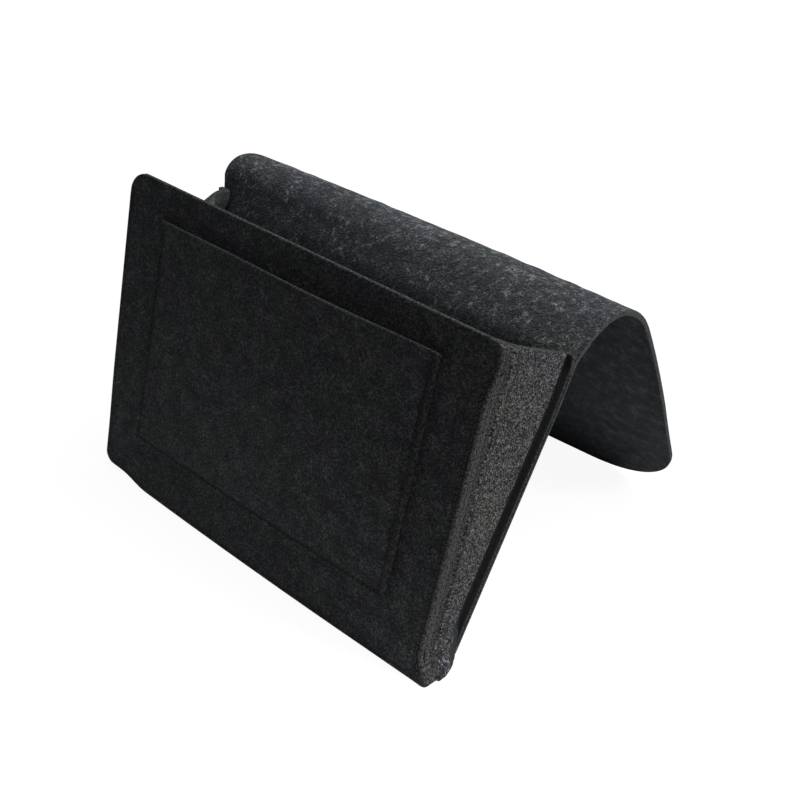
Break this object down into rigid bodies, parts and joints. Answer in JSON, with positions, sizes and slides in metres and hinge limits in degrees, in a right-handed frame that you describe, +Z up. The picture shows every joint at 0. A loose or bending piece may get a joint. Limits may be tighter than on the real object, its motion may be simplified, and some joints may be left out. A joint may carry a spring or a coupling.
{
  "type": "bedside caddy",
  "caption": "Felt bedside caddy: a wedge pocket with a patch pocket on its front, and a long flap that folds over to tuck under a mattress.",
  "frame": {"origin": "on the floor under the middle of the caddy's box, standing on its foot with the flap's end on the same floor", "axes": "+X to the right seen from the front, +Y from the front panel towards the flap's end, +Z up"},
  "size_m": [0.306, 0.3974, 0.225],
  "materials": {
    "felt": "charcoal melange felt, raw cut edges",
    "thread": "black polyester sewing thread"
  },
  "bodies": {
    "pocket": {"front_panel": "felt", "inner_pocket": "felt", "patch_pocket": "felt", "gusset": "felt", "back_panel": "felt", "front_seam_thread": "thread", "back_seam_thread": "thread", "patch_seam_thread": "thread"},
    "flap": {"mattress_flap": "felt"}
  },
  "joints": [
    {"name": "flap_fold", "type": "hinge", "parent": "pocket", "child": "flap", "pos_m": [0, -0.04957, 0.22013], "axis": [1, 0, 0], "range_deg": [0, 80]}
  ]
}
